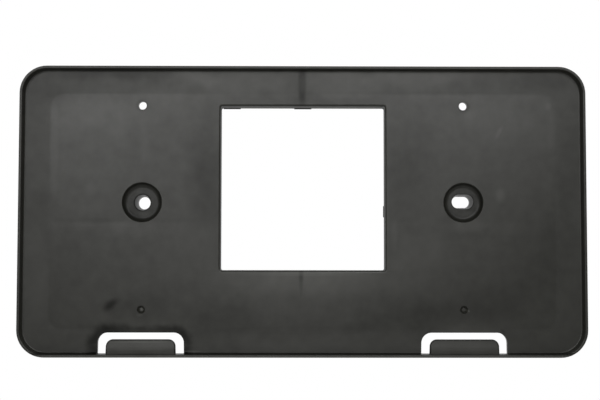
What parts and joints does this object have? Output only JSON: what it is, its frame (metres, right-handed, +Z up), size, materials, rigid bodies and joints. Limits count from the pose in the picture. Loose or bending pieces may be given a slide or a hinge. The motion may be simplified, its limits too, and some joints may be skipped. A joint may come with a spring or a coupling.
{
  "type": "number plate holder",
  "caption": "Shallow moulded tray with a raised rim that carries a car's number plate, with lower tongues, screw holes, a square window and standoffs behind.",
  "frame": {"origin": "halfway across between the two bumper fixing holes and level with the round one, on the plane where the standoffs meet the bumper", "axes": "+X across the car to the right as the front is seen, +Y from the plate side into the bumper, +Z up"},
  "size_m": [0.312, 0.0175, 0.16],
  "materials": {
    "charcoal_plastic": "fine satin grain, as moulded"
  },
  "bodies": {
    "root": {"plate_holder": "charcoal_plastic"}
  },
  "joints": []
}
